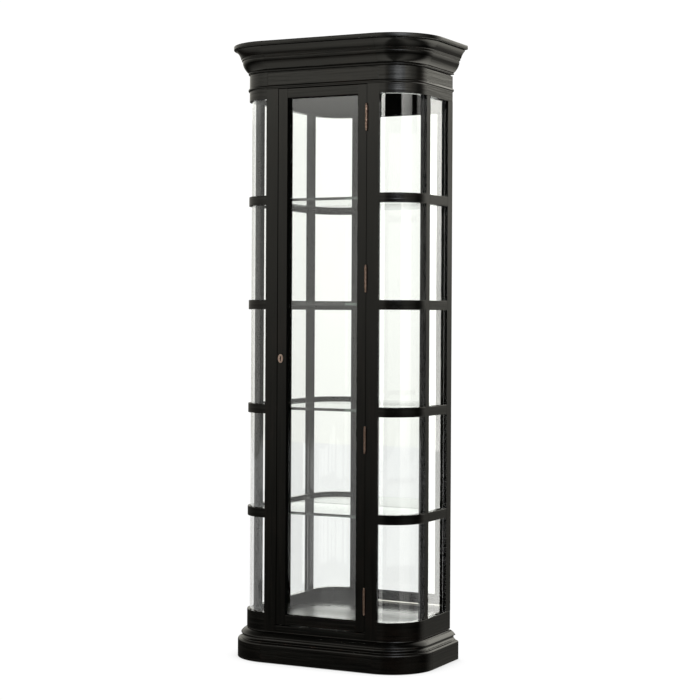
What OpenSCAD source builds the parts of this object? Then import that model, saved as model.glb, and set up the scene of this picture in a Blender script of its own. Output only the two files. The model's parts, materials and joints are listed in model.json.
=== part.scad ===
// Tall glazed display cabinet in black lacquered wood. Its front corners are
// quarter-round bays of bent glass, its sides are flat glass, its back is one
// mirror, and a single glazed door hung at the right closes the middle.
// The origin is at the middle of the footprint on the floor, the door faces -Y
// and all sizes are in millimetres.

/* [Cabinet] */
// Height from the floor to the top of the cornice
total_h = 2200; // [2050:10:2300]
// Width of the body across its two side faces
body_w = 690; // [660:5:760]
// Depth of the body from the door face to the back
body_d = 355; // [330:5:420]
// Radius of the round front corners at the outer face
corner_r = 126; // [118:1:130]

/* [Frame] */
// Height of the moulded base
base_h = 107; // [107:1:130]
// Reach of the base beyond the body
base_out = 33; // [33:1:40]
// Reach of the cornice beyond the body
cornice_out = 58; // [58:1:66]
// Height of the bottom rail above the base
rail_h = 65; // [55:1:80]
// Thickness of rails, bars and posts
frame_t = 25; // [22:1:27]
// Thickness of the members round the door
front_t = 30; // [30:1:34]
// Width of the fixed stile beside the door
stile_w = 47; // [44:1:54]
// Width of the slim post between bent and flat glass
side_post_w = 30; // [24:1:36]
// Width of the post at the back
rear_post_w = 40; // [32:1:50]
// Height of each glazing bar
bar_h = 34; // [26:1:40]
// Height of the fixed sill under the door
sill_h = 23; // [21:1:28]

/* [Glass] */
// Thickness of the bent and flat panes
pane_t = 3; // [3:0.5:4]
// Thickness of the glass shelves
shelf_t = 10; // [6:1:12]
// Distance from the door face back to the front edge of the shelves
shelf_setback = 36; // [34:1:60]
// Thickness of the mirror
mirror_t = 4; // [3:1:6]

/* [Door] */
// Thickness of the door
door_t = 28; // [27:0.5:28]
// Width of the door's side member at the lock
lock_stile_w = 35; // [33:0.5:44]
// Width of the door's side member at the hinges
hinge_stile_w = 33.5; // [30:0.5:44]
// Height of the door's bottom rail
door_bottom_h = 35.5; // [30:0.5:60]
// Height of the door's top rail
door_top_h = 33; // [30:1:50]
// Gap above the door and at its hinges
door_gap = 2; // [2:0.1:2.5]
// Gap between the door and its sill
door_foot_gap = 4.5; // [2:0.5:6]
// Height of the keyhole above the floor
lock_z = 1083; // [980:1:1150]

/* [Hinges] */
// Length of each butt hinge
hinge_len = 78; // [60:1:100]
// Diameter of the hinge barrel
barrel_d = 8; // [7:0.5:8.5]
// Diameter of the hinge pin
pin_d = 4; // [3:0.5:4.5]

/* [Hidden] */

LACQUER = [0.10, 0.10, 0.09];
CLEAR = [0.80, 0.88, 0.86, 0.35];
SILVER = [0.82, 0.84, 0.84];
BRASS = [0.55, 0.42, 0.22];

LEFT = -1;
RIGHT = 1;
ROUND = 96;          // facets on a full turn of a moulding
cut = 1;             // how far a cutting shape runs past a face

// Plan of the body
half_w = body_w / 2;
front_y = (cornice_out - body_d) / 2;
back_y = front_y + body_d;
bend_x = half_w - corner_r;       // centre of the bend, right-hand corner
bend_y = front_y + corner_r;
glass_overrun = 4;                // how far the bent panes run past the bend
stile_x = bend_x + glass_overrun; // outer edge of the fixed front stiles
door_x = stile_x - stile_w;       // half of the door opening
post_y = bend_y + glass_overrun;  // front edge of the slim side posts
rear_post_y = back_y - rear_post_w;

// Heights
cornice_h = 107;
frieze_top = total_h - cornice_h;
frieze_h = 58;
edge_r = 1.5;                     // rounding of a rail's or the frieze's edge
bar_edge_r = 2;                   // rounding of a glazing bar's edges
astragal_h = 13;
astragal_out = 5;
astragal_z = frieze_top - frieze_h; // underside of the half-round under the frieze
head_rail_h = 35;                 // under the half-round, above the fixed panes
glass_top = astragal_z - head_rail_h;
rail_top = base_h + rail_h;
floor_top = base_h + sill_h - 1;
bar_count = 4;
top_bay_extra = 6;                // the top compartment is slightly taller
bay_h = (glass_top - rail_top - bar_count * bar_h - top_bay_extra) / (bar_count + 1);
bar_z = [for (i = [0 : bar_count - 1]) rail_top + bay_h + bar_h / 2 + i * (bay_h + bar_h)];

// Glazing grooves
groove_in = 9;                    // from the outer face in to the groove, at the corners
side_groove_in = 12;              // and at the sides
groove_w = pane_t + 0.4;
groove_deep = 6;
glass_gap = 0.2;                  // around a pane, inside its groove
pane_in = groove_in + glass_gap;
side_pane_in = side_groove_in + glass_gap;
pane_grip = groove_deep - glass_gap;
stile_rebate_w = 10;              // behind the outer edge of each front stile
bay_spare = 4;                    // degrees a bar is swept past the bend, then trimmed
// Lower and upper edge of each glazed bay
bay_low = concat([rail_top], [for (z = bar_z) z + bar_h / 2]);
bay_high = concat([for (z = bar_z) z - bar_h / 2], [glass_top]);

// Base, with profile points as [reach beyond the body, height]
base_in = 45;                     // how far the base reaches in under the floor
foot_r = 2;                       // rounding at the floor
face_top = 61;                    // where the upright face ends
shoulder_r = 8;                   // rounding above the face
hollow_foot = [base_out - 11, 71];
hollow_head = [base_out - 19, 79];
hollow_deep = 1.2;                // depth of the hollow's curve
nosing_low = [hollow_head.x, 84.5];
nosing_foot = [base_out - 12.5, 85.5];
nosing_side = [base_out - 12.5, 88.5];
nosing_rise = 2;                  // bulge of the sloping top
line_in = 4;                      // dark line between the base and the rail
line_h = 3;
nosing_head = [1, base_h - line_h];

// Cornice, with profile points as [reach beyond the body, height]
cornice_in = 20;
neck_in = 8;                      // shadow gap under the cornice
neck_h = 4.5;
bead_in = 2;                      // small bead above the shadow gap
bead_h = 7;
bead_round = 3;
ovolo_foot = [5.5, frieze_top + 12.5];
ovolo_head = [cornice_out - 32.6, frieze_top + 44];
ovolo_rise = 3;
step_foot = [cornice_out - 32.6, frieze_top + 53];
step_low = [cornice_out - 29, frieze_top + 54.5];
step_high = [cornice_out - 28.5, frieze_top + 61];
cove_foot = [cornice_out - 26, frieze_top + 62];
cove_head = [cornice_out - 9.5, frieze_top + 89];
cove_deep = 2.5;
lip_line_in = 12;                 // dark line under the top lip
lip_z = frieze_top + 92;
lip_r = 3;

// Boards
top_panel_t = 12;
ceiling_t = 14;
ceiling_z = glass_top + 5;
back_t = 4;
joint_gap = 0.3;                  // between a panel and the curve it lies in

// Shelves
shelf_lift = 2;                   // middle of a shelf above the middle of its bar
shelf_edge_gap = 3;
shelf_pin_d = 6;
shelf_pin_in = 8;                 // depth of a pin in the wood
shelf_pin_out = 16;
shelf_back = back_y - back_t - mirror_t - shelf_edge_gap;
front_pin_x = door_x + stile_w / 2;
rear_pin_y = shelf_back - 14;

// Door
lock_gap = door_gap + 1;          // the swing of the free edge needs a little more
door_left = -door_x + lock_gap;
door_right = door_x - door_gap;
door_z = base_h + sill_h + door_foot_gap;
door_top = astragal_z - door_gap;
door_back = front_y + door_t;
rebate_w = 7;
rebate_y = front_y + 18;          // front of the rebate that takes the glass
door_pane_t = 4;
door_bead_w = 4;                  // strip that holds the glass in the rebate
opening_left = door_left + lock_stile_w;
opening_right = door_right - hinge_stile_w;
opening_w = opening_right - opening_left;
opening_h = door_top - door_z - door_bottom_h - door_top_h;
stop_w = 280;                     // stop the door closes against, under the frieze
stop_t = 10;
stop_top = astragal_z + 25;
tenon_len = 16;
tenon_t = 8;
tenon_inset = 6;                  // from a rail's edges to its tenon
tenon_y = front_y + 6;

// Lock
key_x = door_left + 12.5;
bolt_t = 6;
bolt_h = 20;
bolt_len = 21.5;
bolt_y = front_y + 21.5;
slide_gap = 0.15;
bolt_end_gap = 0.5;               // behind the bolt, inside its case
case_w = 18;
case_h = 60;
case_x = door_left + 5.5;
case_y = bolt_y - bolt_t;
keyhole_d = 6;
slot_w = 4;                       // the narrow foot of the keyhole
slot_l = 14;
strike_t = 1.5;
strike_w = 13;
strike_h = 50;
strike_hole_w = bolt_t + 1;
strike_hole_h = bolt_h + 1;
mortise_deep = 11;
plate_l = 31;                     // escutcheon height
plate_w = 20;
plate_t = 2;
plate_drop = 5.5;                 // its middle below the round part of the keyhole
plate_sides = 48;

// Hinges
hinge_count = 4;
hinge_low = 106.5;                // door's bottom edge to the lowest hinge's middle
hinge_high = 114;                 // highest hinge's middle to the door's top edge
hinge_x = door_x - door_gap / 2;
barrel_clear = 0.5;               // between the barrel and the door face
hinge_y = front_y - barrel_d / 2 - barrel_clear;
leaf_t = 1.9;
leaf_deep = 24;
leaf_gap = 0.1;                   // half of the space between the closed leaves
knuckles = 5;
knuckle_gap = 0.3;
knuckle_h = (hinge_len - (knuckles - 1) * knuckle_gap) / knuckles;
pin_gap = 0.05;
finial_h = 9;                     // from the barrel's end to the tip
finial_collar_h = 1.2;
finial_neck_h = 1;
finial_neck = 0.55;               // radius of the neck, as a share of the barrel's
hinge_z = [for (i = [0 : hinge_count - 1])
    door_z + hinge_low + i * (door_top - door_z - hinge_low - hinge_high) / (hinge_count - 1)];

// ---------- outlines, as [reach beyond the body face, height] ----------

// Points on an arc from p to q that bulges by rise to the right of the way
function bow(p, q, rise, steps = 5) =
    let (chord = norm(q - p), along = (q - p) / chord, k = sign(rise),
        right = [along.y, -along.x], r = (chord * chord / 4 + rise * rise) / (2 * abs(rise)),
        a = asin(chord / 2 / r), centre = (p + q) / 2 + right * (rise - k * r))
    [for (i = [0 : steps]) let (t = -a + 2 * a * i / steps)
        centre + k * r * cos(t) * right + r * sin(t) * along];

// Quarter circle between two points that are r apart each way
function quarter(p, q, steps = 4) = bow(p, q, norm(q - p) * (sqrt(2) - 1) / 2, steps);

function base_outline() = concat(
    [[-base_in, 0]],
    quarter([base_out - foot_r, 0], [base_out, foot_r]),
    quarter([base_out, face_top], [base_out - shoulder_r, face_top + shoulder_r]),
    [[hollow_foot.x, face_top + shoulder_r]],
    bow(hollow_foot, hollow_head, -hollow_deep, 4),
    [nosing_low, nosing_foot],
    bow(nosing_side, nosing_head, nosing_rise, 6),
    [[-line_in, base_h - line_h], [-line_in, base_h]],
    [[-base_in, base_h]]);

function rail_outline(groove) = concat(
    [[-frame_t, base_h], [0, base_h]],
    quarter([0, rail_top - edge_r], [-edge_r, rail_top], 3),
    groove_up(groove, rail_top),
    [[-frame_t, rail_top]]);

function groove_up(groove, z) = [
    [-groove, z], [-groove, z - groove_deep],
    [-groove - groove_w, z - groove_deep], [-groove - groove_w, z]];

function groove_down(groove, z) = [
    [-groove - groove_w, z], [-groove - groove_w, z + groove_deep],
    [-groove, z + groove_deep], [-groove, z]];

function bar_outline(groove, z) = concat(
    [[-frame_t, z - bar_h / 2]],
    groove_down(groove, z - bar_h / 2),
    quarter([-bar_edge_r, z - bar_h / 2], [0, z - bar_h / 2 + bar_edge_r], 3),
    quarter([0, z + bar_h / 2 - bar_edge_r], [-bar_edge_r, z + bar_h / 2], 3),
    groove_up(groove, z + bar_h / 2),
    [[-frame_t, z + bar_h / 2]]);

function astragal_outline() =
    bow([0, astragal_z], [0, astragal_z + astragal_h], astragal_out, 8);

function frieze_outline(groove) = concat(
    [[-frame_t, glass_top]],
    groove_down(groove, glass_top),
    quarter([-edge_r, glass_top], [0, glass_top + edge_r], 3),
    astragal_outline(),
    [[0, frieze_top], [-frame_t, frieze_top]]);

function head_outline() = concat(
    [[-front_t, astragal_z]],
    astragal_outline(),
    [[0, frieze_top], [-front_t, frieze_top]]);

function cornice_outline() =
    let (z = frieze_top + neck_h, out = cornice_out)
    concat(
        [[-cornice_in, frieze_top], [-neck_in, frieze_top], [-neck_in, z]],
        bow([bead_in, z], [bead_in, z + bead_h], bead_round, 6),
        bow(ovolo_foot, ovolo_head, ovolo_rise, 6),
        [step_foot, step_low, step_high],
        bow(cove_foot, cove_head, -cove_deep),
        [[out - lip_line_in, cove_head.y], [out - lip_line_in, lip_z - 1]],
        quarter([out - lip_r, lip_z], [out, lip_z + lip_r], 3),
        quarter([out, total_h - lip_r], [out - lip_r, total_h], 3),
        [[-cornice_in, total_h]]);

// Plan outline of a board that lies inside the glass, inset from the body
function board_outline(inset, front, back) =
    let (r = corner_r - inset, turn = asin(min(1, (bend_y - front) / r)),
        right = concat([[half_w - inset, back]],
            [for (i = [0 : 24]) let (t = turn * i / 24)
                [bend_x + r * cos(t), bend_y - r * sin(t)]]))
    concat(right, [for (i = [len(right) - 1 : -1 : 0]) [-right[i].x, right[i].y]]);

// ---------- ways to sweep an outline round the body ----------

module on_side(side) {
    if (side == LEFT) mirror([1, 0, 0]) children();
    else children();
}

// Along the front, between two X positions
module run_front(x0, x1) {
    translate([x1, front_y, 0]) rotate([90, 0, -90])
        linear_extrude(height = x1 - x0) children();
}

// Along the right side, between two Y positions
module run_side(y0, y1) {
    translate([half_w, y1, 0]) rotate([90, 0, 0])
        linear_extrude(height = y1 - y0) children();
}

// Round the right front corner
module run_corner() {
    translate([bend_x, bend_y, 0]) rotate([0, 0, -90])
        rotate_extrude(angle = 90, $fn = ROUND) translate([corner_r, 0]) children();
}

// Round the corner, ending in the rebate of the front stile and at the side post
module run_bay() {
    intersection() {
        translate([bend_x, bend_y, 0]) rotate([0, 0, -90 - bay_spare])
            rotate_extrude(angle = 90 + 2 * bay_spare, $fn = ROUND) translate([corner_r, 0]) children();
        union() {
            translate([stile_x, front_y - cut, 0])
                cube([corner_r, post_y - front_y + cut, total_h]);
            translate([stile_x - stile_rebate_w + glass_gap, front_y + pane_in, 0])
                cube([stile_rebate_w, frame_t, total_h]);
        }
    }
}

// ---------- base ----------

module plinth_front() {
    color(LACQUER) run_front(-bend_x, bend_x) polygon(base_outline());
}

module plinth_corner(side) {
    color(LACQUER) on_side(side) run_corner() polygon(base_outline());
}

module plinth_side(side) {
    color(LACQUER) on_side(side) run_side(bend_y, back_y) polygon(base_outline());
}

module plinth_back() {
    width = body_w - 2 * base_in;
    color(LACQUER) translate([-width / 2, back_y - frame_t, 0]) cube([width, frame_t, base_h]);
}

// ---------- bottom frame ----------

module sill_front() {
    color(LACQUER) translate([-door_x, front_y, base_h]) cube([2 * door_x, front_t, sill_h]);
}

module rail_corner(side) {
    color(LACQUER) on_side(side) difference() {
        run_corner() polygon(rail_outline(groove_in));
        stile_notch(rail_top);
    }
}

// Room for the foot or head of a front stile at the start of a corner piece
module stile_notch(top) {
    translate([bend_x - cut, front_y - cut, base_h - cut])
        cube([glass_overrun + cut, front_t + cut, top - base_h + 2 * cut]);
}

// The groove steps in at the side post, from the bent glass to the flat glass
module rail_side(side) {
    color(LACQUER) on_side(side) {
        run_side(bend_y, post_y) polygon(rail_outline(groove_in));
        run_side(post_y, back_y) polygon(rail_outline(side_groove_in));
    }
}

module floor_panel() {
    inset = frame_t + joint_gap;
    color(LACQUER) translate([0, 0, base_h]) linear_extrude(height = floor_top - base_h)
        difference() {
            polygon(board_outline(inset, front_y + inset, back_y - back_t));
            translate([-stile_x - joint_gap, front_y])
                square([2 * (stile_x + joint_gap), front_t + joint_gap]);
        }
}

// ---------- posts ----------

module front_stile(side) {
    color(LACQUER) difference() {
        on_side(side) translate([door_x, front_y, base_h])
            cube([stile_w, front_t, astragal_z - base_h]);
        on_side(side) front_pin_holes();
        on_side(side) stile_rebate();
        if (side == LEFT) strike_mortise();
        if (side == RIGHT) hinge_recess(hinge_x, leaf_t + leaf_gap);
    }
}

// Takes the edge of the bent panes behind the lip of a front stile
module stile_rebate() {
    translate([stile_x - stile_rebate_w, front_y + groove_in, rail_top - groove_deep])
        cube([stile_rebate_w + cut, front_t, glass_top - rail_top + 2 * groove_deep]);
}

module side_post(side) {
    color(LACQUER) on_side(side) difference() {
        translate([half_w - frame_t, post_y, rail_top])
            cube([frame_t, side_post_w, glass_top - rail_top]);
        for (z = pin_heights()) side_pin_hole(post_y + side_post_w / 2, z);
    }
}

module rear_post(side) {
    color(LACQUER) on_side(side) difference() {
        translate([half_w - frame_t, rear_post_y, rail_top])
            cube([frame_t, rear_post_w, glass_top - rail_top]);
        for (z = pin_heights()) side_pin_hole(rear_pin_y, z);
    }
}

// ---------- glazing bars and panes ----------

module bars_corner(side) {
    color(LACQUER) on_side(side) for (z = bar_z) run_bay() polygon(bar_outline(groove_in, z));
}

module bars_side(side) {
    color(LACQUER) on_side(side) for (z = bar_z)
        run_side(post_y + side_post_w, rear_post_y) polygon(bar_outline(side_groove_in, z));
}

module glass_corner(side) {
    color(CLEAR) on_side(side) for (i = [0 : bar_count])
        translate([0, 0, bay_low[i] - pane_grip])
            linear_extrude(height = bay_high[i] - bay_low[i] + 2 * pane_grip)
                bent_pane_plan();
}

module bent_pane_plan() {
    intersection() {
        translate([bend_x, bend_y]) difference() {
            circle(r = corner_r - pane_in, $fn = ROUND);
            circle(r = corner_r - pane_in - pane_t, $fn = ROUND);
        }
        translate([stile_x - stile_rebate_w + glass_gap, front_y])
            square([corner_r, post_y - front_y - glass_gap]);
    }
}

module glass_side(side) {
    y0 = post_y + side_post_w + glass_gap;
    color(CLEAR) on_side(side) for (i = [0 : bar_count])
        translate([half_w - side_pane_in - pane_t, y0, bay_low[i] - pane_grip])
            cube([pane_t, rear_post_y - glass_gap - y0,
                bay_high[i] - bay_low[i] + 2 * pane_grip]);
}

// ---------- frieze and cornice ----------

module frieze_front() {
    color(LACQUER) run_front(-bend_x, bend_x) polygon(head_outline());
}

module frieze_corner(side) {
    color(LACQUER) on_side(side) difference() {
        run_corner() polygon(frieze_outline(groove_in));
        stile_notch(astragal_z - cut);
    }
}

module frieze_side(side) {
    color(LACQUER) on_side(side) {
        run_side(bend_y, post_y) polygon(frieze_outline(groove_in));
        run_side(post_y, back_y) polygon(frieze_outline(side_groove_in));
    }
}

module cornice_front() {
    color(LACQUER) run_front(-bend_x, bend_x) polygon(cornice_outline());
}

module cornice_corner(side) {
    color(LACQUER) on_side(side) run_corner() polygon(cornice_outline());
}

module cornice_side(side) {
    color(LACQUER) on_side(side) run_side(bend_y, back_y) polygon(cornice_outline());
}

module cornice_back() {
    width = body_w - 2 * cornice_in;
    color(LACQUER) translate([-width / 2, back_y - frame_t, frieze_top])
        cube([width, frame_t, cornice_h]);
}

module top_panel() {
    inset = cornice_in + joint_gap;
    color(LACQUER) translate([0, 0, total_h - top_panel_t]) linear_extrude(height = top_panel_t)
        polygon(board_outline(inset, front_y + inset, back_y - frame_t));
}

module ceiling_panel() {
    inset = frame_t + joint_gap;
    color(LACQUER) translate([0, 0, ceiling_z]) linear_extrude(height = ceiling_t)
        polygon(board_outline(inset, front_y + front_t + joint_gap, back_y - back_t));
}

// ---------- back ----------

module back_panel() {
    width = body_w - 2 * frame_t;
    color(LACQUER) translate([-width / 2, back_y - back_t, base_h])
        cube([width, back_t, frieze_top - base_h]);
}

module mirror_sheet() {
    width = body_w - 2 * frame_t - 2 * joint_gap;
    color(SILVER) translate([-width / 2, back_y - back_t - mirror_t, floor_top])
        cube([width, mirror_t, ceiling_z - floor_top]);
}

// ---------- shelves ----------

function shelf_z(i) = bar_z[i] + shelf_lift - shelf_t / 2;
function pin_heights() = [for (i = [0 : bar_count - 1]) shelf_z(i) - shelf_pin_d / 2];

module shelf(i) {
    color(CLEAR) translate([0, 0, shelf_z(i)]) linear_extrude(height = shelf_t)
        polygon(board_outline(frame_t + shelf_edge_gap, front_y + shelf_setback, shelf_back));
}

module peg(d, length) {
    cylinder(d = d, h = length, $fn = 32);
}

module side_pin_hole(y, z) {
    translate([half_w - frame_t - cut, y, z]) rotate([0, 90, 0])
        peg(shelf_pin_d + 2 * pin_gap, shelf_pin_in + cut);
}

module front_pin_holes() {
    for (z = pin_heights()) translate([front_pin_x, front_y + front_t + cut, z])
        rotate([90, 0, 0]) peg(shelf_pin_d + 2 * pin_gap, shelf_pin_in + cut);
}

module shelf_pins() {
    length = shelf_pin_in + shelf_pin_out;
    color(BRASS) for (side = [LEFT, RIGHT]) on_side(side) for (z = pin_heights()) {
        for (y = [post_y + side_post_w / 2, rear_pin_y])
            translate([half_w - frame_t - shelf_pin_out, y, z]) rotate([0, 90, 0])
                peg(shelf_pin_d, length);
        translate([front_pin_x, front_y + front_t + shelf_pin_out, z])
            rotate([90, 0, 0]) peg(shelf_pin_d, length);
    }
}

// ---------- door ----------

module door_stile_hinge() {
    color(LACQUER) difference() {
        door_stile(opening_right, hinge_stile_w, opening_right, opening_right);
        hinge_recess(hinge_x - leaf_t - leaf_gap, leaf_t + leaf_gap);
    }
}

module door_stile_lock() {
    color(LACQUER) difference() {
        door_stile(door_left, lock_stile_w, opening_left - rebate_w, opening_left - tenon_len);
        translate([case_x, case_y, lock_z - case_h / 2])
            cube([case_w, door_back - case_y + cut, case_h]);
        bolt_channel(door_left - cut, case_x + cut);
        keyhole(front_y - cut, case_y + cut);
    }
}

// A full-height side member, with its rebate for the glass and its mortises
module door_stile(x, w, rebate_x, mortise_x) {
    difference() {
        translate([x, front_y, door_z]) cube([w, door_t, door_top - door_z]);
        translate([rebate_x, rebate_y, door_z + door_bottom_h - rebate_w])
            cube([rebate_w, door_t, opening_h + 2 * rebate_w]);
        for (span = [[door_z, door_bottom_h], [door_top - door_top_h, door_top_h]])
            translate([mortise_x, tenon_y, span[0] + tenon_inset])
                cube([tenon_len, tenon_t, span[1] - 2 * tenon_inset]);
    }
}

module door_rail(z, h, rebate_z) {
    color(LACQUER) union() {
        difference() {
            translate([opening_left, front_y, z]) cube([opening_w, door_t, h]);
            translate([opening_left - cut, rebate_y, rebate_z])
                cube([opening_w + 2 * cut, door_t, rebate_w]);
        }
        translate([opening_left - tenon_len, tenon_y, z + tenon_inset])
            cube([opening_w + 2 * tenon_len, tenon_t, h - 2 * tenon_inset]);
    }
}

module door_rail_top() {
    door_rail(door_top - door_top_h, door_top_h, door_top - door_top_h);
}

module door_rail_bottom() {
    door_rail(door_z, door_bottom_h, door_z + door_bottom_h - rebate_w);
}

// A slab that fills the glass opening, grown by grow on all four sides
module opening_slab(y, t, grow) {
    translate([opening_left - grow, y, door_z + door_bottom_h - grow])
        cube([opening_w + 2 * grow, t, opening_h + 2 * grow]);
}

module door_glass() {
    color(CLEAR) opening_slab(rebate_y, door_pane_t, rebate_w - glass_gap);
}

module door_glass_bead() {
    y = rebate_y + door_pane_t;
    color(LACQUER) difference() {
        opening_slab(y, door_back - y, rebate_w);
        opening_slab(y - cut, door_t, rebate_w - door_bead_w);
    }
}

module door_stop() {
    z = ceiling_z + ceiling_t;
    color(LACQUER) translate([-stop_w / 2, front_y + front_t, z])
        cube([stop_w, stop_t, stop_top - z]);
}

// ---------- lock ----------

module bolt_channel(x0, x1) {
    translate([x0, bolt_y - bolt_t / 2 - slide_gap, lock_z - bolt_h / 2 - slide_gap])
        cube([x1 - x0, bolt_t + 2 * slide_gap, bolt_h + 2 * slide_gap]);
}

module keyhole(y0, y1) {
    translate([key_x, y1, lock_z]) rotate([90, 0, 0])
        linear_extrude(height = y1 - y0) keyhole_outline();
}

module keyhole_outline() {
    circle(d = keyhole_d, $fn = 32);
    translate([-slot_w / 2, -slot_l]) square([slot_w, slot_l]);
}

module lock_case() {
    color(BRASS) difference() {
        translate([case_x, case_y, lock_z - case_h / 2])
            cube([case_w, door_back - case_y, case_h]);
        bolt_channel(case_x - cut, door_left + bolt_len + bolt_end_gap);
        keyhole(case_y - cut, bolt_y - bolt_t / 2);
    }
}

module lock_bolt() {
    color(BRASS) translate([door_left, bolt_y - bolt_t / 2, lock_z - bolt_h / 2])
        cube([bolt_len, bolt_t, bolt_h]);
}

module escutcheon() {
    color(BRASS) translate([key_x, front_y, lock_z]) rotate([90, 0, 0])
        linear_extrude(height = plate_t) difference() {
            polygon([for (i = [0 : plate_sides - 1]) let (t = i * 360 / plate_sides)
                [plate_w / 2 * cos(t), plate_l / 2 * sin(t) - plate_drop]]);
            keyhole_outline();
        }
}

module strike_mortise() {
    translate([-door_x - strike_t, bolt_y - strike_w / 2, lock_z - strike_h / 2])
        cube([strike_t + cut, strike_w, strike_h]);
    translate([-door_x - mortise_deep, bolt_y - strike_hole_w / 2, lock_z - strike_hole_h / 2])
        cube([mortise_deep, strike_hole_w, strike_hole_h]);
}

module strike_plate() {
    color(BRASS) difference() {
        translate([-door_x - strike_t, bolt_y - strike_w / 2, lock_z - strike_h / 2])
            cube([strike_t, strike_w, strike_h]);
        translate([-door_x - 2 * strike_t, bolt_y - strike_hole_w / 2, lock_z - strike_hole_h / 2])
            cube([3 * strike_t, strike_hole_w, strike_hole_h]);
    }
}

// ---------- hinges ----------

module hinge_recess(x, w) {
    for (z = hinge_z) translate([x, front_y - cut, z - hinge_len / 2 - leaf_gap])
        cube([w, leaf_deep + cut + leaf_gap, hinge_len + 2 * leaf_gap]);
}

// One leaf with its share of the knuckles, centred on the pin at z = 0
module hinge_leaf(x, first) {
    difference() {
        union() {
            translate([x, front_y - hinge_y, -hinge_len / 2]) cube([leaf_t, leaf_deep, hinge_len]);
            for (i = [first : 2 : knuckles - 1])
                translate([0, 0, -hinge_len / 2 + i * (knuckle_h + knuckle_gap)]) {
                    cylinder(d = barrel_d, h = knuckle_h, $fn = 48);
                    translate([x, 0, 0]) cube([leaf_t, front_y - hinge_y + cut, knuckle_h]);
                }
        }
        cylinder(d = pin_d + 2 * pin_gap, h = 2 * hinge_len, center = true, $fn = 48);
    }
}

module hinge_frame_leaves() {
    color(BRASS) for (z = hinge_z) translate([hinge_x, hinge_y, z]) hinge_leaf(leaf_gap, 0);
}

module hinge_door_leaves() {
    color(BRASS) for (z = hinge_z) translate([hinge_x, hinge_y, z])
        hinge_leaf(-leaf_gap - leaf_t, 1);
}

// Pin with a turned ball finial at each end
function pin_outline() =
    let (end = hinge_len / 2 + leaf_gap, r = barrel_d / 2, neck_r = r * finial_neck,
        neck_z = end + finial_collar_h + finial_neck_h)
    concat(
        [[0, 0], [pin_d / 2, 0], [pin_d / 2, end], [r, end], [r, end + finial_collar_h]],
        [[neck_r, neck_z]],
        bow([neck_r, neck_z + finial_neck_h], [0, end + finial_h], neck_r, 8));

module hinge_pins() {
    color(BRASS) for (z = hinge_z, flip = [0, 1])
        translate([hinge_x, hinge_y, z]) mirror([0, 0, flip])
            rotate_extrude($fn = 48) polygon(pin_outline());
}

plinth_front();
plinth_corner(LEFT);  // plinth_corner_left
plinth_corner(RIGHT);  // plinth_corner_right
plinth_side(LEFT);  // plinth_side_left
plinth_side(RIGHT);  // plinth_side_right
plinth_back();
sill_front();
rail_corner(LEFT);  // rail_corner_left
rail_corner(RIGHT);  // rail_corner_right
rail_side(LEFT);  // rail_side_left
rail_side(RIGHT);  // rail_side_right
floor_panel();
front_stile(LEFT);  // front_stile_left
front_stile(RIGHT);  // front_stile_right
side_post(LEFT);  // side_post_left
side_post(RIGHT);  // side_post_right
rear_post(LEFT);  // rear_post_left
rear_post(RIGHT);  // rear_post_right
bars_corner(LEFT);  // bars_corner_left
bars_corner(RIGHT);  // bars_corner_right
bars_side(LEFT);  // bars_side_left
bars_side(RIGHT);  // bars_side_right
glass_corner(LEFT);  // glass_corner_left
glass_corner(RIGHT);  // glass_corner_right
glass_side(LEFT);  // glass_side_left
glass_side(RIGHT);  // glass_side_right
frieze_front();
frieze_corner(LEFT);  // frieze_corner_left
frieze_corner(RIGHT);  // frieze_corner_right
frieze_side(LEFT);  // frieze_side_left
frieze_side(RIGHT);  // frieze_side_right
cornice_front();
cornice_corner(LEFT);  // cornice_corner_left
cornice_corner(RIGHT);  // cornice_corner_right
cornice_side(LEFT);  // cornice_side_left
cornice_side(RIGHT);  // cornice_side_right
cornice_back();
top_panel();
ceiling_panel();
back_panel();
mirror_sheet();  // mirror
shelf(0);  // shelf_1
shelf(1);  // shelf_2
shelf(2);  // shelf_3
shelf(3);  // shelf_4
shelf_pins();
door_stile_hinge();
door_stile_lock();
door_rail_top();
door_rail_bottom();
door_glass();
door_glass_bead();
escutcheon();
lock_case();
lock_bolt();
strike_plate();
hinge_frame_leaves();
hinge_door_leaves();
hinge_pins();
door_stop();
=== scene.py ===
import json
import math

import bmesh
import bpy
from mathutils import Matrix, Vector


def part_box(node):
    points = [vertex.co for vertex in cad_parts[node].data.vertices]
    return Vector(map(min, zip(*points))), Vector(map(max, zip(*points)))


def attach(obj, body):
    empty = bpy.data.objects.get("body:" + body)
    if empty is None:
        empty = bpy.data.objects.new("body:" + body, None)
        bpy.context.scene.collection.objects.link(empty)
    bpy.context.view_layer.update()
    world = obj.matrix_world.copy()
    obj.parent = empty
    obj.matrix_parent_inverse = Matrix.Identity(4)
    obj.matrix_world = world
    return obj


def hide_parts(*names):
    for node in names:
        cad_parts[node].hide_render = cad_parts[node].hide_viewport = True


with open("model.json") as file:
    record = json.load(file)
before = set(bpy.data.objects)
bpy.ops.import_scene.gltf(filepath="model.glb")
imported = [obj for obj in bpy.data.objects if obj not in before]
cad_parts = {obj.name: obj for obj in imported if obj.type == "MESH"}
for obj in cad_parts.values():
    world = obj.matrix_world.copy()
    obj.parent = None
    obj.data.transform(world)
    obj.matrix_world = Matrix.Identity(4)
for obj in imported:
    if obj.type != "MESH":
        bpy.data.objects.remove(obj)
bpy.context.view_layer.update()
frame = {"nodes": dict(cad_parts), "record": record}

# ---------------------------------------------------------------- sizes, in metres
MM = 0.001
HALF_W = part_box("rear_post_right")[1].x         # outer face of the sides
BACK_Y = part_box("rear_post_right")[1].y
FRONT_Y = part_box("sill_front")[0].y             # outer face of the front frame
BEND_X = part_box("cornice_front")[1].x           # centre of the right-hand bend
BEND_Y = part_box("cornice_side_right")[0].y
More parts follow.
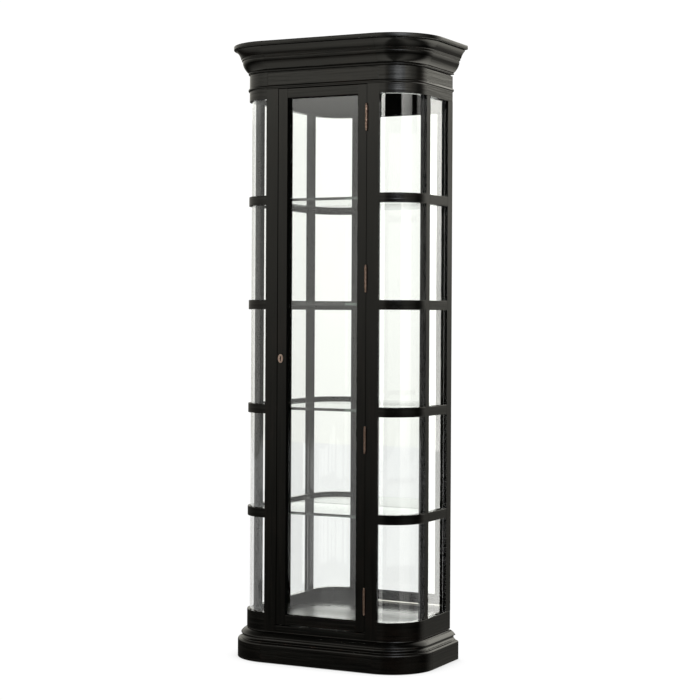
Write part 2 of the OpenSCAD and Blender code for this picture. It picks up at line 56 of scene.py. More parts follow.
BEND_R = HALF_W - BEND_X
STILE_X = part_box("front_stile_right")[1].x      # where the bent bays begin
POST_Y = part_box("side_post_right")[0].y         # and where they end
PANE_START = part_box("glass_corner_right")[0].x  # where the bent panes begin
PANE_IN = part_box("glass_corner_right")[0].y - FRONT_Y

BEND_STEPS = 48                                 # pieces of a quarter turn
BAY_SPARE = math.radians(4)                     # how far a bay's bend is made too long, then cut
ARRIS = 1.4 * MM                                # rounding of a wooden edge
GLASS_ARRIS = 0.5 * MM                          # rounding of a ground glass edge
SHARP = math.radians(38)                        # an edge that turns more than this is a real one
FLAT = math.radians(0.5)                        # and less than this is none
SEAM = 0.002 * MM                               # vertices closer than this are one
SAME = 0.01 * MM                                # heights and depths closer than this are equal

GRAIN_SHIFT = Vector((1.7, 0.31, 0.53))         # moves the grain on from one seed to the next
LOOSE_SEED = 0.37                               # seed step between the loose parts of a node
BENT_SEED = 40                                  # first seed of the bent woodwork
SIDE_SEED = 7                                   # seed step from its left side to its right side
EASED = 0.6                                     # bevel profile of a hand-rounded edge

BODY_OF = {node: body for body, nodes in frame["record"]["behaviour"]["bodies"].items()
           for node in nodes}
SLOT_OF = {row["node"]: row["material_slot"] for row in frame["record"]["subparts"]}


# ---------------------------------------------------------------- node helpers
def put(tree, socket, value):
    """Links a socket to another one, or sets it to a number, a vector or a colour."""
    if isinstance(value, bpy.types.NodeSocket):
        tree.links.new(value, socket)
    elif socket.type == "RGBA":
        socket.default_value = (*value, 1)
    else:
        socket.default_value = value


def add(tree, kind, inputs=None, **settings):
    """A shader node with its settings, and its inputs set to values or linked to sockets."""
    node = tree.nodes.new(kind)
    for name, value in settings.items():
        setattr(node, name, value)
    for name, value in (inputs or {}).items():
        put(tree, node.inputs[name], value)
    return node


def math_of(tree, operation, a, b=0.0, c=0.0, clamp=False):
    """The result of a maths node; a, b and c are numbers or sockets."""
    node = add(tree, "ShaderNodeMath", operation=operation, use_clamp=clamp)
    for socket, value in zip(node.inputs, (a, b, c)):
        put(tree, socket, value)
    return node.outputs[0]


def ramp(tree, factor, stops):
    """A colour ramp; stops are (position, grey)."""
    node = add(tree, "ShaderNodeValToRGB", {"Fac": factor})
    elements = node.color_ramp.elements
    while len(elements) < len(stops):
        elements.new(0.5)
    for element, (position, grey) in zip(elements, stops):
        element.position = position
        element.color = (grey, grey, grey, 1)
    return node.outputs["Color"]


def blend(tree, kind, factor, a, b):
    """A mix of a and b, which are both values or both colours."""
    node = add(tree, "ShaderNodeMix", data_type=kind)
    for name, value in (("Factor", factor), ("A", a), ("B", b)):
        put(tree, next(s for s in node.inputs if s.name == name and s.enabled), value)
    return next(s for s in node.outputs if s.enabled)


def blend_colour(tree, factor, a, b):
    """From colour a to colour b."""
    return blend(tree, "RGBA", factor, a, b)


def blend_value(tree, factor, a, b):
    """From number a to number b."""
    return blend(tree, "FLOAT", factor, a, b)


def attribute(tree, name, output):
    """What the mesh stores under a name."""
    return add(tree, "ShaderNodeAttribute", attribute_name=name).outputs[output]


def object_place(tree):
    """The place in the cabinet's own frame, in metres."""
    return add(tree, "ShaderNodeTexCoord").outputs["Object"]


def new_material(name):
    """An empty material and its node tree."""
    material = bpy.data.materials.new(name)
    material.use_nodes = True
    material.node_tree.nodes.clear()
    return material, material.node_tree


def close(tree, shader, volume=None):
    """Connects a tree's surface, and its volume if it has one, to its output."""
    output = add(tree, "ShaderNodeOutputMaterial", {"Surface": shader})
    if volume is not None:
        put(tree, output.inputs["Volume"], volume)


# ---------------------------------------------------------------- materials
BLACK = (0.0006, 0.0006, 0.0005)                # the lacquer, from its darkest to its palest
PALE_BLACK = (0.0036, 0.0034, 0.0028)
WARM_BLACK = (0.0052, 0.0036, 0.0028)
RUBBED_BROWN = (0.030, 0.014, 0.009)            # the wood where an edge is rubbed
FLOOR_BLACK = (0.006, 0.0055, 0.005)
# flat black, also used as painted shade on the faces in the door's glass opening
FLAT_AND_SHADE_BLACK = (0.0015, 0.0015, 0.0014)
FLAT_AND_SHADE_GREY = (0.0045, 0.0043, 0.0038)
PANE_TINT = (0.992, 0.995, 0.988)
SHELF_TINT = (0.96, 0.99, 0.975)
SHELF_DEPTH = (0.27, 0.35, 0.31)                # what a shelf's glass turns to along its length
DEPTH_DENSITY = 5.0                             # and how soon
GLASS_IOR = 1.5
LACQUER_IOR = 1.5


def stretched_noise(tree, place, scale, size, detail, roughness=0.55):
    """Noise drawn out along the grain; scale is how dense it is along and across the grain."""
    stretched = add(tree, "ShaderNodeMapping", {"Vector": place, "Scale": scale})
    return add(tree, "ShaderNodeTexNoise", {
        "Vector": stretched.outputs[0], "Scale": size, "Detail": detail,
        "Roughness": roughness}).outputs["Fac"]


def lacquer(name, gloss, streaks, wear):
    """Black lacquer on wood: faint grain along each piece, rubbed to red-brown at its edges."""
    material, tree = new_material(name)
    grain = attribute(tree, "grain", "Vector")
    edge = attribute(tree, "edge", "Fac")
    streak = stretched_noise(tree, grain, (1.2, 30, 30), 4.0, 6)    # long lines of the wood
    pore = stretched_noise(tree, grain, (6, 170, 170), 6.0, 3)      # short hairlines
    cloud = stretched_noise(tree, grain, (1, 1.6, 1.6), 7.0, 4)     # where the black is warmer
    chip = stretched_noise(tree, grain, (5, 22, 22), 6.0, 8, 0.7)   # where an edge is rubbed

    pale = ramp(tree, streak, [(0.35, 0.0), (0.7, 1.0)])
    black = blend_colour(tree, pale, BLACK, PALE_BLACK)
    warm = math_of(tree, "MULTIPLY", ramp(tree, cloud, [(0.50, 0.0), (0.70, 1.0)]),
                   ramp(tree, streak, [(0.40, 0.2), (0.60, 1.0)]))
    black = blend_colour(tree, warm, black, WARM_BLACK)
    rubbed = math_of(tree, "MULTIPLY", edge,
                     ramp(tree, chip, [(0.56 - wear, 0.0), (0.70 - wear, 1.0)]))
    colour = blend_colour(tree, rubbed, black, RUBBED_BROWN)

    rough = math_of(tree, "MULTIPLY_ADD", streak, 0.07, gloss)
    rough = math_of(tree, "ADD", rough, math_of(tree, "MULTIPLY", rubbed, 0.15), clamp=True)
    height = math_of(tree, "MULTIPLY_ADD", pore, 0.08, streak)
    bump = add(tree, "ShaderNodeBump", {"Height": height, "Strength": streaks, "Distance": MM})
    shader = add(tree, "ShaderNodeBsdfPrincipled", {
        "Base Color": colour, "Roughness": rough, "Normal": bump.outputs[0],
        "IOR": LACQUER_IOR})
    close(tree, shader.outputs[0])
    return material


def floor_lacquer(name, front_y, back_y):
    """The floor inside the case: glossy at the door, dulled by dust towards the mirror."""
    material, tree = new_material(name)
    streak = stretched_noise(tree, attribute(tree, "grain", "Vector"), (0.7, 16, 16), 5.0, 5, 0.6)
    place = add(tree, "ShaderNodeSeparateXYZ", {"Vector": object_place(tree)}).outputs["Y"]
    back = add(tree, "ShaderNodeMapRange", {
        "Value": place, "From Min": front_y, "From Max": back_y, "To Min": 0.0, "To Max": 1.0})
    dust = math_of(tree, "ADD", back.outputs[0],
                   math_of(tree, "MULTIPLY_ADD", streak, 0.5, -0.25))
    rough = ramp(tree, dust, [(0.0, 0.06), (0.35, 0.12), (0.7, 0.30), (1.0, 0.45)])
    bump = add(tree, "ShaderNodeBump", {
        "Height": streak, "Strength": 0.15, "Distance": 0.6 * MM})
    shader = add(tree, "ShaderNodeBsdfPrincipled", {
        "Base Color": FLOOR_BLACK, "Roughness": rough, "Normal": bump.outputs[0],
        "IOR": LACQUER_IOR})
    close(tree, shader.outputs[0])
    return material


def matte_and_shade_black(name):
    """Flat black, rough and without gloss, on the closed top of the case and on the door stop. On
    the faces in the door's glass opening it is painted shade, standing in for the shadow they lie
    in.
    """
    material, tree = new_material(name)
    streak = stretched_noise(tree, attribute(tree, "grain", "Vector"), (1.2, 34, 34), 4.0, 5)
    shader = add(tree, "ShaderNodeBsdfPrincipled", {
        "Base Color": blend_colour(tree, streak, FLAT_AND_SHADE_BLACK, FLAT_AND_SHADE_GREY),
        "Roughness": 0.85, "Specular IOR Level": 0.0})
    close(tree, shader.outputs[0])
    return material


def glass(name, tint, wave, depth_colour=None):
    """Clear glass with the slight waviness of real sheet. It casts no shadow but its tint's.
    A thick plate also has a colour of its own, which shows along it from edge to edge."""
    material, tree = new_material(name)
    ripple = add(tree, "ShaderNodeTexNoise", {
        "Vector": object_place(tree), "Scale": 3.0, "Detail": 0.0})
    bump = add(tree, "ShaderNodeBump", {
        "Height": ripple.outputs["Fac"], "Strength": wave, "Distance": 2 * MM})
    shader = add(tree, "ShaderNodeBsdfPrincipled", {
        "Base Color": tint, "Roughness": 0.0, "IOR": GLASS_IOR, "Transmission Weight": 1.0,
        "Normal": bump.outputs[0]})
    path = add(tree, "ShaderNodeLightPath").outputs
    lit = math_of(tree, "MAXIMUM", path["Is Shadow Ray"], path["Is Diffuse Ray"])
    clear = add(tree, "ShaderNodeBsdfTransparent", {"Color": tint})
    mixed = add(tree, "ShaderNodeMixShader", {"Fac": lit})
    tree.links.new(shader.outputs[0], mixed.inputs[1])
    tree.links.new(clear.outputs[0], mixed.inputs[2])
    volume = None
    if depth_colour:
        absorbed = add(tree, "ShaderNodeVolumeAbsorption", {
            "Color": depth_colour, "Density": DEPTH_DENSITY})
        volume = absorbed.outputs[0]
    close(tree, mixed.outputs[0], volume)
    return material


def silvering(name):
    """Mirror glass with a faint cloudiness in its silver."""
    material, tree = new_material(name)
    cloud = add(tree, "ShaderNodeTexNoise", {
        "Vector": object_place(tree), "Scale": 9.0, "Detail": 5.0}).outputs["Fac"]
    shader = add(tree, "ShaderNodeBsdfPrincipled", {
        "Base Color": blend_colour(tree, cloud, (0.93, 0.95, 0.94), (0.90, 0.92, 0.915)),
        "Metallic": 1.0, "Roughness": ramp(tree, cloud, [(0.45, 0.004), (0.75, 0.02)])})
    close(tree, shader.outputs[0])
    return material


def metal(name, bright, dull, roughness):
    """Aged metal: bright where it is handled, dull and brown in patches."""
    material, tree = new_material(name)
    patch = add(tree, "ShaderNodeTexNoise", {
        "Vector": object_place(tree), "Scale": 160.0, "Detail": 6.0}).outputs["Fac"]
    tarnish = ramp(tree, patch, [(0.4, 0.0), (0.62, 1.0)])
    bump = add(tree, "ShaderNodeBump", {
        "Height": patch, "Strength": 0.15, "Distance": 0.3 * MM})
    shader = add(tree, "ShaderNodeBsdfPrincipled", {
        "Base Color": blend_colour(tree, tarnish, bright, dull), "Metallic": 1.0,
        "Roughness": math_of(tree, "MULTIPLY_ADD", tarnish, 0.22, roughness),
        "Normal": bump.outputs[0]})
    close(tree, shader.outputs[0])
    return material


LACQUER = lacquer("black_lacquer", 0.06, 0.60, 0.02)
FLOOR = floor_lacquer("floor_lacquer", FRONT_Y, BACK_Y)
MATTE_AND_SHADE = matte_and_shade_black("flat_black_and_reveal_shade")
FLAT_GLASS = glass("flat_glass", PANE_TINT, 0.01)
BENT_GLASS = glass("bent_glass", PANE_TINT, 0.02)
SHELF_GLASS = glass("shelf_glass", SHELF_TINT, 0.01, SHELF_DEPTH)
SILVER = silvering("mirror_silver")
BRASS = metal("aged_brass", (0.56, 0.39, 0.31), (0.16, 0.10, 0.08), 0.26)
DARK_BRASS = metal("blackened_brass", (0.030, 0.024, 0.020), (0.010, 0.008, 0.007), 0.38)
COPPER = metal("rubbed_copper", (0.80, 0.62, 0.54), (0.55, 0.38, 0.32), 0.24)


# ---------------------------------------------------------------- mesh helpers
def clean_copy(node):
    """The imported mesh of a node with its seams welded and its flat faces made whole."""
    bm = bmesh.new()
    bm.from_mesh(frame["nodes"][node].data)
    bmesh.ops.remove_doubles(bm, verts=bm.verts, dist=SEAM)
    bmesh.ops.dissolve_limit(bm, angle_limit=FLAT, verts=bm.verts, edges=bm.edges)
    bmesh.ops.recalc_face_normals(bm, faces=bm.faces)
    return bm


def round_edges(bm, width, segments=2):
    """Rounds every sharp edge and marks the new faces, where the finish wears first."""
    edge_layer = bm.faces.layers.float.get("edge") or bm.faces.layers.float.new("edge")
    sharp = [e for e in bm.edges if e.is_manifold and e.calc_face_angle(0) > SHARP]
    made = bmesh.ops.bevel(bm, geom=sharp, offset=width, offset_type="OFFSET",
                           segments=segments, profile=EASED, affect="EDGES", clamp_overlap=True)
    for face in made["faces"]:
        face[edge_layer] = 1.0


def islands(bm):
    """A list of vertices for each loose part, always in the same order."""
    left = set(bm.verts)
    for first in bm.verts:
        if first not in left:
            continue
        left.remove(first)
        part, todo = [], [first]
        while todo:
            vert = todo.pop()
            part.append(vert)
            for edge in vert.link_edges:
                other = edge.other_vert(vert)
                if other in left:
                    left.remove(other)
                    todo.append(other)
        yield part


def lay_grain(bm, seed, bent):
    """Stores for each vertex how far it is along and across the wood's grain."""
    layer = bm.verts.layers.float_vector.new("grain")
    for number, part in enumerate(islands(bm)):
        low = [min(v.co[i] for v in part) for i in range(3)]
        high = [max(v.co[i] for v in part) for i in range(3)]
        along = max(range(3), key=lambda i: high[i] - low[i])
        shift = GRAIN_SHIFT * (seed + LOOSE_SEED * number)
        for vert in part:
            if bent:
                x, y = abs(vert.co.x) - BEND_X, vert.co.y - BEND_Y
                place = (math.atan2(y, x) * BEND_R, math.hypot(x, y), vert.co.z)
            else:
                place = (vert.co[along], vert.co[(along + 1) % 3], vert.co[(along + 2) % 3])
            vert[layer] = Vector(place) + shift


def link_mesh(name, bm, material):
    """Turns a bmesh into an object of one material."""
    mesh = bpy.data.meshes.new(name)
    bm.to_mesh(mesh)
    bm.free()
    mesh.materials.append(material)
    thing = bpy.data.objects.new(name, mesh)
    bpy.context.collection.objects.link(thing)
    return thing


def stand_for(node, bm, material):
    """The finished piece that is shown in place of a CAD node, on the node's own body."""
    piece = link_mesh(f"{node}_finished", bm, material)
    piece.data.polygons.foreach_set("use_smooth", [True] * len(piece.data.polygons))
    piece.data.set_sharp_from_angle(angle=SHARP)
    weighted = piece.modifiers.new("even_shading", "WEIGHTED_NORMAL")
    weighted.keep_sharp = True
    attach(piece, BODY_OF[node])
    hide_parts(node)
    return piece


def mirrored(bm):
    """The left-hand version of a right-hand bmesh."""
    bmesh.ops.scale(bm, vec=(-1, 1, 1), verts=bm.verts)
    bmesh.ops.reverse_faces(bm, faces=bm.faces)
    return bm


# ---------------------------------------------------------------- straight woodwork
def end_outline(node):
    """The outline of a right-hand moulding, as (reach beyond the side face, height)."""
    bm = clean_copy(node)
    end_y = max(v.co.y for v in bm.verts)
    caps = (f for f in bm.faces if all(abs(v.co.y - end_y) < SAME for v in f.verts))
    cap = max(caps, key=lambda f: f.calc_area())
    outline = [(loop.vert.co.x - HALF_W, loop.vert.co.z) for loop in cap.loops]
    bm.free()
    return outline


def shade_reveals(bm, middle):
    """Gives painted shade, the flat black, to the faces that look across the door's glass opening,
    which lie in shadow there.
    """
    for face in bm.faces:
        across = face.normal.dot(middle - face.calc_center_median()) > 0
        face.material_index = int(across and abs(face.normal.y) < 0.5)


def straight_wood():
    """Every straight wooden member, with its edges eased."""
    wood = sorted(n for n, slot in SLOT_OF.items() if slot == "lacquer" and "corner" not in n)
    finishes = {"floor_panel": FLOOR, "ceiling_panel": MATTE_AND_SHADE, "door_stop": MATTE_AND_SHADE}
    low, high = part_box("door_glass")
    for seed, node in enumerate(wood):
        bm = clean_copy(node)
        round_edges(bm, ARRIS)
        lay_grain(bm, seed, False)
        framing = node.startswith(("door_stile", "door_rail", "door_glass"))
        if framing:
            shade_reveals(bm, (low + high) / 2)
        piece = stand_for(node, bm, finishes.get(node, LACQUER))
        if framing:
            # the flat black on these reveal faces is painted shade
            piece.data.materials.append(MATTE_AND_SHADE)


# ---------------------------------------------------------------- bent woodwork
def bend_outline(outline, start, end):
    """Sweeps an outline round the right-hand bend, between two angles from +X."""
    bm = bmesh.new()
    rings = []
    for i in range(BEND_STEPS + 1):
        angle = start + (end - start) * i / BEND_STEPS
        rings.append([bm.verts.new((
            BEND_X + (BEND_R + out) * math.cos(angle),
            BEND_Y + (BEND_R + out) * math.sin(angle), z)) for out, z in outline])
    for ring, after in zip(rings, rings[1:]):
        for j in range(len(outline)):
            k = (j + 1) % len(outline)
            bm.faces.new((ring[j], ring[k], after[k], after[j]))
    bm.faces.new(rings[0])
    bm.faces.new(reversed(rings[-1]))
    bmesh.ops.recalc_face_normals(bm, faces=bm.faces)
    return bm


def trim(bm, point, away):
    """Cuts off what lies beyond a plane and closes the cut."""
    cut = bmesh.ops.bisect_plane(bm, geom=[*bm.verts, *bm.edges, *bm.faces],
                                 plane_co=point, plane_no=away, clear_outer=True)
    rim = [e for e in cut["geom_cut"] if isinstance(e, bmesh.types.BMEdge)]
    bmesh.ops.holes_fill(bm, edges=rim, sides=0)
    bmesh.ops.recalc_face_normals(bm, faces=bm.faces)


def quarter_turn(outline):
    """A moulding that turns the whole corner, from the front to the side."""
    return bend_outline(outline, -math.pi / 2, 0.0)


def bay_turn(outline, start_x, end_y):
    """A bend that ends flat on the front stile's side and on the side post's side."""
    bm = bend_outline(outline, -math.pi / 2 - BAY_SPARE, BAY_SPARE)
    trim(bm, (start_x, 0, 0), (-1, 0, 0))
    trim(bm, (0, end_y, 0), (0, 1, 0))
    return bm


def take_in(whole, part):
    """Adds one bmesh to another and frees it."""
    mesh = bpy.data.meshes.new("part")
    part.to_mesh(mesh)
    part.free()
    whole.from_mesh(mesh)
    bpy.data.meshes.remove(mesh)


def joined(parts):
    """One bmesh that holds all the given ones."""
    whole = bmesh.new()
    for part in parts:
        take_in(whole, part)
    return whole


def turned_bar(outline):
    """One glazing bar of a bay, with the tongue that fills the rebate behind the stile's lip."""
    main = bay_turn(outline, STILE_X, POST_Y)
    tongue = bay_turn(outline, PANE_START, POST_Y)
    trim(tongue, (STILE_X, 0, 0), (1, 0, 0))
    trim(tongue, (0, FRONT_Y + PANE_IN, 0), (0, -1, 0))
    return joined([main, tongue])


def bent_wood():
    """The mouldings, rails and bars that turn the round corners."""
    bar = bar_outline()
    bars = [[(out, z + level) for out, z in bar] for level in sorted(bar_levels())]
    rail = end_outline("rail_corner_right")
    frieze = end_outline("frieze_corner_right")
    stile_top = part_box("front_stile_right")[1].z
    for seed, side in enumerate(("left", "right")):
        made = {
            "plinth_corner": quarter_turn(end_outline("plinth_side_right")),
            "cornice_corner": quarter_turn(end_outline("cornice_side_right")),
            "rail_corner": quarter_turn(rail),
            "frieze_corner": quarter_turn(frieze),
            "bars_corner": joined([turned_bar(one) for one in bars]),
        }
        trim(made["rail_corner"], (STILE_X, 0, 0), (-1, 0, 0))
        cut_notch(made["frieze_corner"], stile_top)
        for number, (name, bm) in enumerate(made.items()):
            round_edges(bm, ARRIS)
            if side == "left":
                mirrored(bm)
            lay_grain(bm, BENT_SEED + SIDE_SEED * seed + number, True)
            stand_for(f"{name}_{side}", bm, LACQUER)


def cut_notch(bm, top):
    """Clears the head of the front stile out of the frieze's corner piece."""
    upper = bm.copy()
    trim(bm, (0, 0, top), (0, 0, 1))
    trim(bm, (STILE_X, 0, 0), (-1, 0, 0))
    trim(upper, (0, 0, top), (0, 0, -1))
    take_in(bm, upper)


def bar_levels():
    """Heights of the middles of the glazing bars."""
    bm = clean_copy("bars_side_right")
    levels = [(min(v.co.z for v in part) + max(v.co.z for v in part)) / 2 for part in islands(bm)]
    bm.free()
    return levels


def bar_outline():
    """The outline of one glazing bar about its own middle."""
    bm = clean_copy("bars_corner_right")
    end_y = max(v.co.y for v in bm.verts)
    cap = next(f for f in bm.faces if all(abs(v.co.y - end_y) < SAME for v in f.verts))
    middle = (min(v.co.z for v in cap.verts) + max(v.co.z for v in cap.verts)) / 2
    outline = []
    for loop in cap.loops:
        reach = math.hypot(loop.vert.co.x - BEND_X, loop.vert.co.y - BEND_Y) - BEND_R
        outline.append((reach, loop.vert.co.z - middle))
    bm.free()
    return outline


# ---------------------------------------------------------------- glass
def bent_glass():
    """The curved panes of both bays, with finely ground edges."""
    for side in ("left", "right"):
        node = f"glass_corner_{side}"
        source = clean_copy(node)
        spans = sorted((min(v.co.z for v in part), max(v.co.z for v in part))
                       for part in islands(source))
        radii = [math.hypot(abs(v.co.x) - BEND_X, v.co.y - BEND_Y) for v in source.verts]
        outer, inner = max(radii) - BEND_R, min(radii) - BEND_R
        source.free()
        panes = []
        for low, high in spans:
            pane = bay_turn([(inner, low), (outer, low), (outer, high), (inner, high)],
                            PANE_START, POST_Y)
            round_edges(pane, GLASS_ARRIS, 1)
            panes.append(pane)
        bm = joined(panes)
        if side == "left":
            mirrored(bm)
        stand_for(node, bm, BENT_GLASS)


def flat_glass():
    """The side panes, the door's pane and the shelves."""
    panes = ["glass_side_left", "glass_side_right", "door_glass"]
    shelves = [f"shelf_{number}" for number in range(1, 5)]
    for node in panes + shelves:
        shelf = node in shelves
        bm = clean_copy(node)
        round_edges(bm, 2 * GLASS_ARRIS if shelf else GLASS_ARRIS)
        stand_for(node, bm, SHELF_GLASS if shelf else FLAT_GLASS)


# ---------------------------------------------------------------- metal and mirror
def cad_finishes():
    """CAD nodes whose shape is kept get their finish."""
    finishes = {"mirror": SILVER, "escutcheon": COPPER, "shelf_pins": DARK_BRASS}
    for node, slot in SLOT_OF.items():
        if slot in ("brass", "mirror"):
            kept = frame["nodes"][node]
            kept.material_slots[0].material = finishes.get(node, BRASS)


# ---------------------------------------------------------------- studio
FLOOR_REACH = 9.0                               # half the width of the white floor
FLOOR_LEVEL = 1.04
SHADE_REACH = 0.16                              # how far from the cabinet's foot the painted shadow reaches
BACKDROP_LEVEL = 1.05
FILL_LEVEL = 0.55                               # even light for surfaces that scatter it
PANE_DARK = 0.03                                # seen between two panes
HIGH_WHITE = 3.0                                # seen high up after two reflections
BLUE_FROM = 1.5                                 # daylight shows where it is this much stronger
WHITE = (1.0, 1.0, 1.0)
LAMP_TINT = (1.0, 0.975, 0.87)
DAY_TINT = (0.95, 0.98, 1.0)
PANE_LIGHT_TINT = (1.0, 1.0, 0.95)
INNER_TINT = (1.0, 1.0, 0.965)


def studio_floor():
    """A white floor that glows evenly, with a painted contact shadow close round the foot of the
    cabinet: an occlusion test turns its glow down there.
    """
    bm = bmesh.new()
    bmesh.ops.create_grid(bm, x_segments=2, y_segments=2, size=FLOOR_REACH)
    material, tree = new_material("floor_white_painted_shadow")
    painted_contact_shadow = add(tree, "ShaderNodeAmbientOcclusion", {"Distance": SHADE_REACH}, samples=8)
    # painted contact shadow: the floor's glow is turned down where the cabinet is near
    level = ramp(tree, painted_contact_shadow.outputs["AO"], [(0.45, 0.66), (0.62, 0.88), (0.85, 0.98)])
    white = add(tree, "ShaderNodeEmission", {"Color": level, "Strength": FLOOR_LEVEL})
    close(tree, white.outputs[0])
    floor = link_mesh("studio_floor", bm, material)
    floor.visible_glossy = False


def round_room(tree, turn, stops):
    """Brightness round the room; stops are (degrees from straight before the door, brightness)."""
    peak = max(level for _, level in stops)
    shade = ramp(tree, turn, [(0.5 + degrees / 360, level / peak) for degrees, level in stops])
    return math_of(tree, "MULTIPLY", shade, peak)


def up_room(tree, rise, stops):
    """Brightness from floor to ceiling; stops are (degrees above the horizon, brightness)."""
    peak = max(level for _, level in stops)
    shade = ramp(tree, rise, [(0.5 + math.sin(math.radians(degrees)) / 2, level / peak)
                              for degrees, level in stops])
    return math_of(tree, "MULTIPLY", shade, peak)


def lacquer_room(tree, turn, rise):
    """What the woodwork mirrors: lamplit walls before and beside the case, and a window."""
    wall = round_room(tree, turn, [
        (-180, 0.7), (-60, 0.7), (-36, 1.0), (-6, 1.0), (2, 0.45), (8, 0.20), (34, 0.15),
        (46, 0.30), (55, 0.50), (64, 0.85), (76, 0.80), (88, 0.60), (97, 0.45), (103, 0.26),
        (110, 0.15), (122, 0.14), (132, 0.0), (180, 0.0)])
    wall_rise = up_room(tree, rise, [
        (-90, 0.90), (-50, 0.80), (-32, 0.40), (-22, 0.10), (-14, 0.02), (-8, 0.08), (-3, 0.24),
        (0, 0.42), (4, 0.60), (6, 0.72), (7.5, 1.0), (20, 0.90), (38, 0.18), (60, 0.05),
        (90, 0.04)])
    side = round_room(tree, turn, [
        (120, 0.0), (128, 0.22), (134, 0.6), (142, 0.88), (150, 1.0), (180, 1.0)])
    side_rise = up_room(tree, rise, [
        (-90, 1.8), (-40, 1.8), (-25, 1.1), (-14, 0.24), (-9, 0.15), (-3, 0.28), (0, 0.38),
        (3, 0.66), (6, 0.60), (7.5, 0.85), (9, 1.5), (20, 2.0), (38, 1.0), (60, 0.1), (90, 0.05)])
    lamplight = math_of(tree, "ADD", math_of(tree, "MULTIPLY", wall, wall_rise),
                        math_of(tree, "MULTIPLY", side, side_rise))
    window = round_room(tree, turn, [
        (0, 0.0), (4, 0.2), (14, 0.6), (24, 1.2), (30, 2.3), (35, 3.0), (45, 3.0), (54, 1.6),
        (64, 0.9), (74, 0.3), (88, 0.0)])
    window_rise = up_room(tree, rise, [
        (3.6, 0.0), (4.4, 0.12), (6, 0.3), (7, 1.0), (25, 1.0), (40, 0.1)])
    daylight = math_of(tree, "MULTIPLY", window, window_rise)
    return lamplight, daylight


def pane_room(tree, turn, rise):
    """What the outer faces of the panes mirror: bright and black screens round the case."""
    screens = round_room(tree, turn, [
        (-155, 0.0), (-152, 1.7), (-120, 1.4), (-100, 1.0), (-40, 1.0), (-36, 2.0), (-24, 2.0),
        (-22, 7.5), (-7, 7.5), (-5, 0.0), (50, 0.0), (55, 3.6), (88, 1.9), (94, 0.0),
        (112, 0.0), (118, 1.0), (130, 1.0), (133, 0.05), (148, 0.0)])
    screens_rise = up_room(tree, rise, [
        (-90, 0.04), (-24, 0.06), (-13, 0.30), (-8, 0.42), (0, 0.62), (5.8, 0.62), (6.8, 1.0),
        (9, 1.0), (20, 0.25), (90, 0.12)])
    back = round_room(tree, turn, [(-157, 3.2), (-154, 0.0), (152.5, 0.0), (155, 3.2)])
    back_rise = up_room(tree, rise, [(-7, 1.0), (0, 0.66), (6, 1.0)])
    return math_of(tree, "ADD", math_of(tree, "MULTIPLY", screens, screens_rise),
                   math_of(tree, "MULTIPLY", back, back_rise))


def twice_turned_room(tree, turn, rise):
    """What is seen after two reflections: white before the door and high up, else dark."""
    low = round_room(tree, turn, [(-60, 0.04), (-50, 1.1), (-2, 1.1), (8, 0.04)])
    high = up_room(tree, rise, [(6.5, 0.0), (8, 1.0)])
    return blend_value(tree, high, low, HIGH_WHITE)


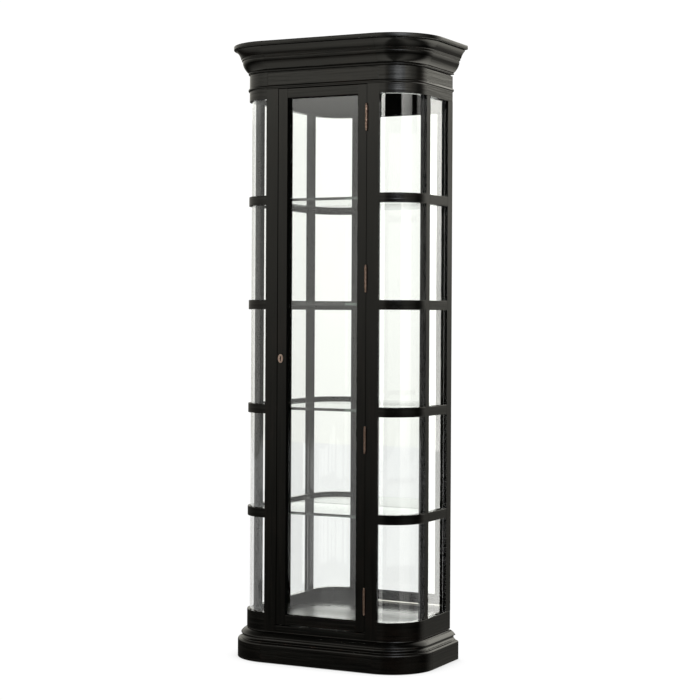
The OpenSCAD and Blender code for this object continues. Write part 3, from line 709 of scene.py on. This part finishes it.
def studio_world():
    """The studio round the case. Woodwork, panes and the view through the glass each have
    their own map of it, as the lamps and screens of a product studio are set for each."""
    world = bpy.data.worlds.new("studio")
    world.use_nodes = True
    tree = world.node_tree
    tree.nodes.clear()
    way = add(tree, "ShaderNodeTexCoord").outputs["Generated"]
    x, y, z = add(tree, "ShaderNodeSeparateXYZ", {"Vector": way}).outputs
    angle = math_of(tree, "ARCTAN2", x, math_of(tree, "MULTIPLY", y, -1.0))
    turn = math_of(tree, "MULTIPLY_ADD", angle, 0.5 / math.pi, 0.5)
    rise = math_of(tree, "MULTIPLY_ADD", z, 0.5, 0.5)

    lamplight, daylight = lacquer_room(tree, turn, rise)
    off_lacquer = math_of(tree, "ADD", lamplight, daylight)
    twice_turned = twice_turned_room(tree, turn, rise)
    seen_through = up_room(tree, rise, [
        (-90, 0.95), (-9, 1.02), (-6.5, 1.05), (0, 1.17), (6.5, 1.25), (90, 1.25)])

    # How the view came here: how often it was mirrored, and through how many faces of glass
    path = add(tree, "ShaderNodeLightPath").outputs
    mirrored_twice = math_of(tree, "GREATER_THAN", path["Glossy Depth"], 1.5)
    through_pane = math_of(tree, "GREATER_THAN", path["Transmission Depth"], 1.5)
    out_again = math_of(tree, "GREATER_THAN", path["Transmission Depth"], 2.5)
    unturned = math_of(tree, "LESS_THAN", path["Glossy Depth"], 0.5)
    straight = math_of(tree, "MULTIPLY", path["Is Transmission Ray"], unturned)

    off_wood = blend_value(tree, through_pane, off_lacquer, twice_turned)
    off_pane = blend_value(tree, mirrored_twice, pane_room(tree, turn, rise), PANE_DARK)
    outside = blend_value(tree, path["Is Singular Ray"], off_wood, off_pane)
    inside = blend_value(tree, mirrored_twice, seen_through, twice_turned)
    level = blend_value(tree, out_again, outside, inside)
    level = blend_value(tree, straight, level, seen_through)
    level = blend_value(tree, path["Is Diffuse Ray"], level, FILL_LEVEL)
    level = blend_value(tree, path["Is Camera Ray"], level, BACKDROP_LEVEL)

    bright_lamps = math_of(tree, "MULTIPLY", lamplight, BLUE_FROM)
    daylit = math_of(tree, "GREATER_THAN", daylight, bright_lamps)
    tint = blend_colour(tree, daylit, LAMP_TINT, DAY_TINT)
    tint = blend_colour(tree, path["Is Singular Ray"], tint, PANE_LIGHT_TINT)
    tint = blend_colour(tree, out_again, tint, INNER_TINT)
    tint = blend_colour(tree, path["Is Camera Ray"], tint, WHITE)
    sky = add(tree, "ShaderNodeBackground", {"Color": tint, "Strength": level})
    add(tree, "ShaderNodeOutputWorld", {"Surface": sky.outputs[0]})
    bpy.context.scene.world = world


def camera():
    """The photograph's view: level, at eye height, from the front and right of the cabinet."""
    yaw = math.radians(26.60)
    roll = math.radians(0.292)
    distance, aside, eye = 6.4404, 0.0229, 1.2393
    middle = Vector((0, (FRONT_Y + BACK_Y) / 2, 0))
    forward = Vector((-math.sin(yaw), math.cos(yaw), 0))
    right = Vector((math.cos(yaw), math.sin(yaw), 0))
    data = bpy.data.cameras.new("photo_view")
    data.sensor_width = 36
    data.lens = 92.15
    data.shift_x = -0.0003
    data.shift_y = -0.0526
    data.clip_start, data.clip_end = 0.1, 60
    viewer = bpy.data.objects.new("photo_view", data)
    viewer.matrix_world = (
        Matrix.Translation(middle - forward * distance + right * aside + Vector((0, 0, eye)))
        @ Matrix.Rotation(yaw, 4, "Z") @ Matrix.Rotation(math.pi / 2, 4, "X")
        @ Matrix.Rotation(roll, 4, "Z"))
    bpy.context.collection.objects.link(viewer)
    bpy.context.scene.camera = viewer


straight_wood()
bent_wood()
bent_glass()
flat_glass()
cad_finishes()
studio_floor()
studio_world()
camera()
bpy.context.scene.view_settings.view_transform = "Standard"
